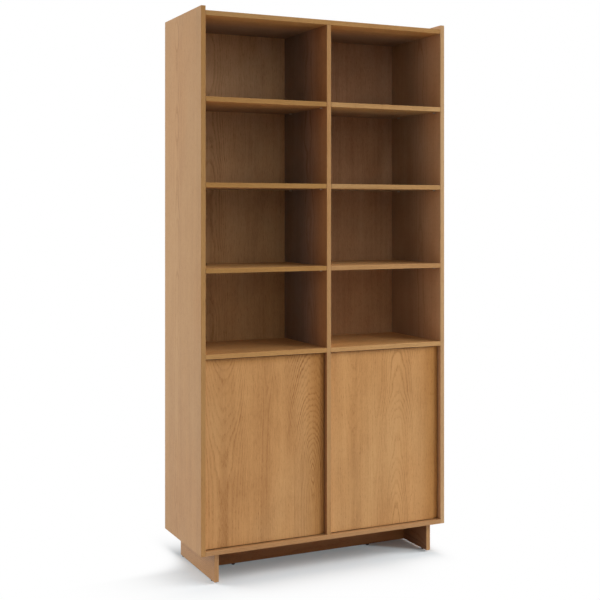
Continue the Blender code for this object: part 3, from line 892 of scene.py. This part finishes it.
def metal(name, tint, roughness):
    """Plated steel with fine drawn lines and a slight mottle."""
    material, g, shader = material_graph(name)
    spot = g.parts(g.object_place())
    stretched = g.vector(*(g.product(spot[axis], pace) for axis, pace in LINE_PACES.items()))
    layers = {
        "lines": g.noise(stretched),
        "mottle": g.noise(g.vector(*spot.values()), scale=MOTTLE_PACE, detail=FINE_DETAIL),
    }
    paint(
        g, shader, tint,
        g.weigh(METAL_TONE, layers, METAL_TONE_WEIGHTS),
        g.weigh(roughness - METAL_SMOOTHER, layers, METAL_ROUGHNESS_WEIGHTS),
    )
    shader.inputs["Metallic"].default_value = 1.0
    g.relief(shader, layers["lines"], LINE_STRENGTH, LINE_DEPTH)
    return material


def plastic(name, tint, roughness):
    """Moulded plastic with a fine spark-eroded texture and soft clouds in its tone."""
    material, g, shader = material_graph(name)
    spot = g.object_place()
    layers = {
        "grit": g.noise(spot, scale=GRIT_PACE),
        "cloud": g.noise(spot, scale=CLOUD_PACE, detail=FINE_DETAIL),
    }
    paint(
        g, shader, tint,
        g.weigh(PLASTIC_TONE, layers, PLASTIC_TONE_WEIGHTS),
        g.weigh(roughness - PLASTIC_SMOOTHER, layers, PLASTIC_ROUGHNESS_WEIGHTS),
    )
    g.relief(shader, layers["grit"], GRIT_STRENGTH, GRIT_DEPTH)
    return material


def dress_all(part, material):
    """Gives all the packed pieces with this part in their names the same finish."""
    for name in NODES:
        if part in name:
            dress(name, material)


# Screws and magnet poles
PIVOT_SCREW = 0.0031
PIVOT_SCREW_INSET = 0.006
CATCH_SCREW = 0.0030
EAR_INSET = 0.005
EAR_THICKNESS = 0.0025
STRIKE_SCREW = 0.00195
POLE_LENGTH = 0.026
POLE_THICKNESS = 0.0012
POLE_PROUD = 0.00015
POLE_EASE = 0.00006
POLE_DROP = 0.0040
POLE_PITCH = 0.0062
FACING_UP = Matrix.Identity(4)
FACING_DOWN = Matrix.Rotation(math.pi, 4, "X")
FACING_BACK = Matrix.Rotation(-math.pi / 2, 4, "X")

# The cross in a screw's head. Its arms' width is in head radii and their length a share of the
# crown's radius. Its depth is a share of CROSS_DEPTH head radii, or of the screw's height if
# that is less. Its floor is smaller than its mouth by the taper.
SCREW_SIDES = 24
CROSS_ARM = 0.27
CROSS_LENGTH = 0.80
CROSS_DEPTH = 0.42
CROSS_DEPTH_SHARE = 0.8
CROSS_TAPER = 0.62
QUARTER_TURNS = (0, math.pi / 2, math.pi, 3 * math.pi / 2)
SMOOTH_BELOW = math.radians(35)

# Radius and height from the point to the crown, in head radii, with the seat at 0
PAN_HEAD = (
    (0.20, -0.60), (0.50, -0.45), (0.55, 0.0), (0.98, 0.0), (1.0, 0.05), (0.99, 0.14),
    (0.94, 0.24), (0.85, 0.32), (0.73, 0.375), (0.68, 0.385),
)
SUNK_HEAD = (
    (0.30, -0.66), (0.42, -0.60), (0.48, -0.50), (0.95, -0.08), (0.97, -0.05), (0.90, -0.05),
)


def screw(name, profile, radius, place, turn, body):
    """A cross-slot screw; turn points its crown, which faces +Z, the right way."""
    shape = bmesh.new()
    turns = [math.tau * step / SCREW_SIDES for step in range(SCREW_SIDES)]
    rings = [
        [
            shape.verts.new(
                (radius * reach * math.cos(a), radius * reach * math.sin(a), radius * height)
            )
            for a in turns
        ]
        for reach, height in profile
    ]
    for lower, upper in zip(rings, rings[1:]):
        for index in range(SCREW_SIDES):
            following = (index + 1) % SCREW_SIDES
            shape.faces.new((lower[index], lower[following], upper[following], upper[index]))
    shape.faces.new(rings[0])

    # The slot is a cross cut into the crown, with walls that taper to its floor
    crown = radius * profile[-1][1]
    long, half = radius * profile[-1][0] * CROSS_LENGTH, radius * CROSS_ARM / 2
    cross = [
        (x * math.cos(a) - y * math.sin(a), x * math.sin(a) + y * math.cos(a))
        for a in QUARTER_TURNS
        for x, y in ((half, half), (half, long), (-half, long))
    ]
    depth = min(crown - radius * profile[0][1], radius * CROSS_DEPTH) * CROSS_DEPTH_SHARE
    mouth = [shape.verts.new((x, y, crown)) for x, y in cross]
    floor = [shape.verts.new((x * CROSS_TAPER, y * CROSS_TAPER, crown - depth)) for x, y in cross]
    rim = [shape.edges.get((rings[-1][i - 1], rings[-1][i])) for i in range(SCREW_SIDES)]
    lip = [shape.edges.new((mouth[i - 1], mouth[i])) for i in range(len(mouth))]
    bmesh.ops.triangle_fill(shape, use_beauty=True, use_dissolve=False, edges=rim + lip)
    for index in range(len(mouth)):
        shape.faces.new((mouth[index - 1], mouth[index], floor[index], floor[index - 1]))
    shape.faces.new(floor)
    bmesh.ops.recalc_face_normals(shape, faces=shape.faces)
    return add_piece(name, shape, place, turn, body)


def pole(name, place):
    """A magnet's steel pole, a bar with eased edges that stands a little proud."""
    shape = bmesh.new()
    bmesh.ops.create_cube(shape, size=1.0)
    bmesh.ops.scale(
        shape, vec=(POLE_LENGTH, 2 * POLE_PROUD, POLE_THICKNESS), verts=shape.verts
    )
    bmesh.ops.bevel(
        shape, geom=list(shape.edges), offset=POLE_EASE, offset_type="OFFSET", segments=2,
        profile=0.5, affect="EDGES",
    )
    return add_piece(name, shape, place, Matrix.Identity(4), "carcass")


def add_piece(name, shape, place, turn, body):
    """Turns a shape into a piece that moves with a body."""
    mesh = bpy.data.meshes.new(name)
    shape.to_mesh(mesh)
    shape.free()
    mesh.transform(Matrix.Translation(place) @ turn)
    mesh.shade_smooth()
    mesh.set_sharp_from_angle(angle=SMOOTH_BELOW)
    piece = bpy.data.objects.new(name, mesh)
    bpy.context.scene.collection.objects.link(piece)
    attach(piece, body)
    return piece


class DressPins(bpy.types.Operator):
    """Nickel plate on the shelf pins"""

    bl_idname = "bookcase.shelf_pins"
    bl_label = "Shelf Pins"

    def execute(self, context):
        look = context.scene.bookcase_hardware
        dress_all("_pin_", metal("pin_nickel", look.nickel, roughness=0.32))
        return {"FINISHED"}


class DressPivots(bpy.types.Operator):
    """Bronze plate on the pivot plates, with a screw in each, and brown nylon bushes"""

    bl_idname = "bookcase.door_pivots"
    bl_label = "Door Pivots"

    def execute(self, context):
        look = context.scene.bookcase_hardware
        dress_all("_pivot", metal("pivot_steel", look.bronze, roughness=0.36))
        dress_all("_bush", plastic("bush_nylon", look.nylon, roughness=0.42))
        finish = metal("pivot_screw_bronze", look.bronze, roughness=0.30)
        for side in SIDES:
            levels = {
                "lower": (FACING_UP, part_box("bottom_panel")[1].z),
                "upper": (FACING_DOWN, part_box(f"{side}_fixed_shelf")[0].z),
            }
            for level, (turn, board) in levels.items():
                low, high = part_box(f"{side}_door_{level}_pivot")
                place = Vector((high.x - PIVOT_SCREW_INSET, (low.y + high.y) / 2, board))
                name = f"{side}_{level}_pivot_screw"
                piece = screw(name, PAN_HEAD, PIVOT_SCREW, place, turn, "carcass")
                piece.data.materials.append(finish)
        return {"FINISHED"}


class DressCatches(bpy.types.Operator):
    """Housings, strike plates, magnet poles and screws of the catches"""

    bl_idname = "bookcase.catches"
    bl_label = "Catches"

    def execute(self, context):
        look = context.scene.bookcase_hardware
        dress_all("_catch", plastic("catch_plastic", look.housing, roughness=0.45))
        dress_all("_strike", metal("strike_steel", look.zinc, roughness=0.30))
        screws = metal("catch_screw_zinc", look.zinc, roughness=0.30)
        poles = metal("magnet_pole_steel", look.magnet, roughness=0.34)
        for side in SIDES:
            low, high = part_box(f"{side}_door_catch")
            middle = (low + high) / 2
            for end, x in (("left", low.x + EAR_INSET), ("right", high.x - EAR_INSET)):
                place = Vector((x, middle.y, high.z - EAR_THICKNESS))
                name = f"{side}_catch_{end}_screw"
                piece = screw(name, PAN_HEAD, CATCH_SCREW, place, FACING_DOWN, "carcass")
                piece.data.materials.append(screws)
            for level, drop in (("upper", POLE_DROP), ("lower", POLE_DROP + POLE_PITCH)):
                place = Vector((middle.x, low.y, high.z - drop))
                piece = pole(f"{side}_catch_{level}_pole", place)
                piece.data.materials.append(poles)
            low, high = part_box(f"{side}_door_strike")
            place = Vector(((low.x + high.x) / 2, high.y, (low.z + high.z) / 2))
            name, door = f"{side}_strike_screw", f"{side}_door"
            piece = screw(name, SUNK_HEAD, STRIKE_SCREW, place, FACING_BACK, door)
            piece.data.materials.append(screws)
        return {"FINISHED"}


class DressGlides(bpy.types.Operator):
    """Black plastic on the glides"""

    bl_idname = "bookcase.glides"
    bl_label = "Glides"

    def execute(self, context):
        look = context.scene.bookcase_hardware
        dress_all("_glide", plastic("glide_plastic", look.glide, roughness=0.5))
        return {"FINISHED"}


# Studio
class Lamp(NamedTuple):
    """A square lamp: its turn from the front towards the right, height and spread in degrees,
    its distance and width, and the height that it aims at."""

    turn: float
    height: float
    spread: float
    distance: float
    width: float
    aim: float


LAMPS = {
    "key": Lamp(75, 21, 70, 8.0, 3.2, 0.3),
    "fill": Lamp(40, 40, 90, 6.5, 3.0, 0.8),
    "front": Lamp(-4, 25, 90, 6.5, 3.0, 0.6),
    "left": Lamp(-75, 18, 90, 5.5, 2.4, 0.6),
    "side": Lamp(-129, 25, 90, 5.5, 3.0, 0.6),
}


def add_lamp(name, strength):
    """A lamp far enough away to light the whole bookcase almost evenly, to strength."""
    plan = LAMPS[name]
    turn, height = math.radians(plan.turn), math.radians(plan.height)
    level = math.cos(height)
    towards = Vector((math.sin(turn) * level, -math.cos(turn) * level, math.sin(height)))
    lamp = bpy.data.lights.new(f"{name}_lamp", "AREA")
    lamp.shape = "SQUARE"
    lamp.size = plan.width
    lamp.spread = math.radians(plan.spread)

    # The same strength gives the same light from any distance
    lamp.energy = strength * math.pi * math.pi * plan.distance * plan.distance
    thing = bpy.data.objects.new(f"{name}_lamp", lamp)
    bpy.context.scene.collection.objects.link(thing)
    thing.location = Vector((0, 0, plan.aim)) + towards * plan.distance
    thing.rotation_euler = towards.to_track_quat("Z", "Y").to_euler()
    thing.visible_camera = False
    thing.visible_glossy = False


def white_rays(g):
    """1 for what the camera, a gloss or a clear surface sees, 0 for light that falls on things."""
    path = g.add("ShaderNodeLightPath").outputs
    seen = g.math("MAXIMUM", path["Is Camera Ray"], path["Is Glossy Ray"])
    straight = g.math("LESS_THAN", path["Diffuse Depth"], 0.5)
    return g.product(g.math("MAXIMUM", seen, path["Is Transmission Ray"]), straight)


def studio_world(strength):
    """Even white light, and plain white to the eye."""
    world = bpy.data.worlds.new("studio")
    bpy.context.scene.world = world
    world.use_nodes = True
    g = Graph(world.node_tree)
    ground = world.node_tree.nodes["Background"]
    ground.inputs["Color"].default_value = colour(PLAIN)
    g.feed(ground.inputs["Strength"], g.mix(white_rays(g), strength, 1.0))


FLOOR_RADIUS = 40
FLOOR_SIDES = 96

# How fast the shadow fades, next to 1 towards the front and the rear: on the right, on the left
# at the front and at the rear, and in front of the right half, and where it changes
FADE_RIGHT = 4.0
FADE_LEFT_FRONT = 0.65
FADE_LEFT_REAR = 5.5
FADE_FRONT_RIGHT = 2.0
LEFT_CHANGE_Y = (-0.02, 0.25)
FRONT_CHANGE_X = (0.2, 0.5)
FADE_POWER = 1.4

# The corner behind the right foot lies in its shadow, back from a line through the foot's front
CORNER_WAY = (0.66, 0.75)
CORNER_EDGE = 0.04
CORNER_DARK = 0.1
PAST_FOOT_X = (0.1, 0.35)
PAST_FOOT_LIGHT = 1.3

# These even out the warm light that the wood throws on the floor
FLOOR_TINT = (0.98, 1.0, 1.02)
SHADE_TINT = (0.82, 1.0, 1.08)


def shadow_fade(g, spot, reach):
    """0 where the floor keeps its shadow, under and by the base, and 1 where it is plain white."""
    low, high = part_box("left_base_side")[0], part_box("right_base_side")[1]
    left = g.above(low.x, spot["X"])
    right = g.above(spot["X"], high.x)
    front = g.above(CAD_BOX[0].y, spot["Y"])
    rear = g.above(spot["Y"], CAD_BOX[1].y)
    left_pace = g.step(spot["Y"], *LEFT_CHANGE_Y, FADE_LEFT_FRONT, FADE_LEFT_REAR)
    front_pace = g.step(spot["X"], *FRONT_CHANGE_X, 1.0, FADE_FRONT_RIGHT)
    sideways = g.sum(g.product(left, left_pace), g.product(right, FADE_RIGHT))
    lengthways = g.sum(g.product(front, front_pace), rear)
    squares = g.sum(g.product(sideways, sideways), g.product(lengthways, lengthways))
    gap = g.math("DIVIDE", g.math("SQRT", squares), reach)
    kept = g.math("EXPONENT", g.product(g.math("POWER", gap, FADE_POWER), -1.0))
    return g.math("SUBTRACT", 1.0, kept)


def corner_light(g, spot):
    """1 in front of the line past the right foot, and little in the corner behind it."""
    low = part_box("right_base_side")[0]
    along = g.product(g.math("SUBTRACT", spot["X"], low.x), CORNER_WAY[0])
    behind = g.sum(along, g.product(g.math("SUBTRACT", spot["Y"], low.y), CORNER_WAY[1]))
    corner = g.step(behind, 0.0, CORNER_EDGE, 1.0, CORNER_DARK)
    return g.product(corner, g.step(spot["X"], *PAST_FOOT_X, 1.0, PAST_FOOT_LIGHT))


def studio_floor(studio):
    """A pale floor that keeps the bookcase's shadow and turns to plain white round it."""
    mesh = bpy.data.meshes.new("studio_floor")
    shape = bmesh.new()
    bmesh.ops.create_circle(shape, cap_ends=True, segments=FLOOR_SIDES, radius=FLOOR_RADIUS)
    shape.to_mesh(mesh)
    shape.free()
    floor = bpy.data.objects.new("studio_floor", mesh)
    bpy.context.scene.collection.objects.link(floor)
    material, g, shader = material_graph("studio_floor")
    tree = material.node_tree
    tree.nodes.remove(shader)
    plain = g.add("ShaderNodeBsdfDiffuse", colour([studio.floor] * 3)).outputs[0]
    spot = g.parts(g.object_place())
    cool = colour([studio.floor_light * level for level in FLOOR_TINT])
    lit = g.add("ShaderNodeBsdfDiffuse", cool).outputs[0]
    shaded = g.product(corner_light(g, spot), studio.floor_shade)
    shade = g.add("ShaderNodeEmission", colour(SHADE_TINT), shaded).outputs[0]
    near = g.add("ShaderNodeAddShader", lit, shade).outputs[0]
    white = g.add("ShaderNodeEmission", colour(PLAIN), 1.0).outputs[0]
    fade = shadow_fade(g, spot, studio.shadow_reach)
    far = g.add("ShaderNodeMixShader", fade, near, white).outputs[0]
    seen = g.add("ShaderNodeMixShader", white_rays(g), plain, far).outputs[0]
    tree.links.new(seen, tree.nodes["Material Output"].inputs["Surface"])
    mesh.materials.append(material)


FILM_WIDTH = 36
SIGHT = 200


def studio_camera(studio):
    """A level camera, shifted down to frame the bookcase."""
    lens = bpy.data.cameras.new("camera")
    lens.sensor_width = FILM_WIDTH
    lens.lens = studio.lens
    lens.shift_y = -studio.drop
    lens.clip_end = SIGHT
    camera = bpy.data.objects.new("camera", lens)
    bpy.context.scene.collection.objects.link(camera)
    camera.location = studio.station
    camera.rotation_euler = (math.pi / 2, 0, studio.heading)
    bpy.context.scene.camera = camera


class BuildStudio(bpy.types.Operator):
    """Floor, lamps, white surroundings and camera"""

    bl_idname = "bookcase.studio"
    bl_label = "Studio"

    def execute(self, context):
        studio = context.scene.bookcase_studio
        context.scene.view_settings.view_transform = "Standard"
        studio_world(studio.sky)
        studio_floor(studio)
        for name in LAMPS:
            add_lamp(name, getattr(studio, name))
        studio_camera(studio)
        return {"FINISHED"}


PIECES = (
    DressSides, DressDivider, DressTopAndBottom, DressShelves, DressBacks, DressDoors, DressBase,
    DressPins, DressPivots, DressCatches, DressGlides, BuildStudio,
)
SETTINGS = {
    "bookcase_oak": BookcaseOak,
    "bookcase_hardware": BookcaseHardware,
    "bookcase_studio": BookcaseStudio,
}


class BookcasePanel(bpy.types.Panel):
    """Settings and pieces of the bookcase"""

    bl_idname = "VIEW3D_PT_bookcase"
    bl_label = "Bookcase"
    bl_space_type = "VIEW_3D"
    bl_region_type = "UI"
    bl_category = "Bookcase"

    def draw(self, context):
        for name, settings in SETTINGS.items():
            box = self.layout.box()
            box.label(text=settings.__doc__)
            for field in settings.__annotations__:
                box.prop(getattr(context.scene, name), field)
        for piece in PIECES:
            self.layout.operator(piece.bl_idname)


CLASSES = (*SETTINGS.values(), *PIECES, BookcasePanel)


def register():
    for kind in CLASSES:
        bpy.utils.register_class(kind)
    for name, settings in SETTINGS.items():
        setattr(bpy.types.Scene, name, PointerProperty(type=settings))


def unregister():
    for name in SETTINGS:
        delattr(bpy.types.Scene, name)
    for kind in reversed(CLASSES):
        bpy.utils.unregister_class(kind)


def main():
    register()
    for piece in PIECES:
        group, action = piece.bl_idname.split(".")
        getattr(getattr(bpy.ops, group), action)()


if __name__ == "__main__":
    main()
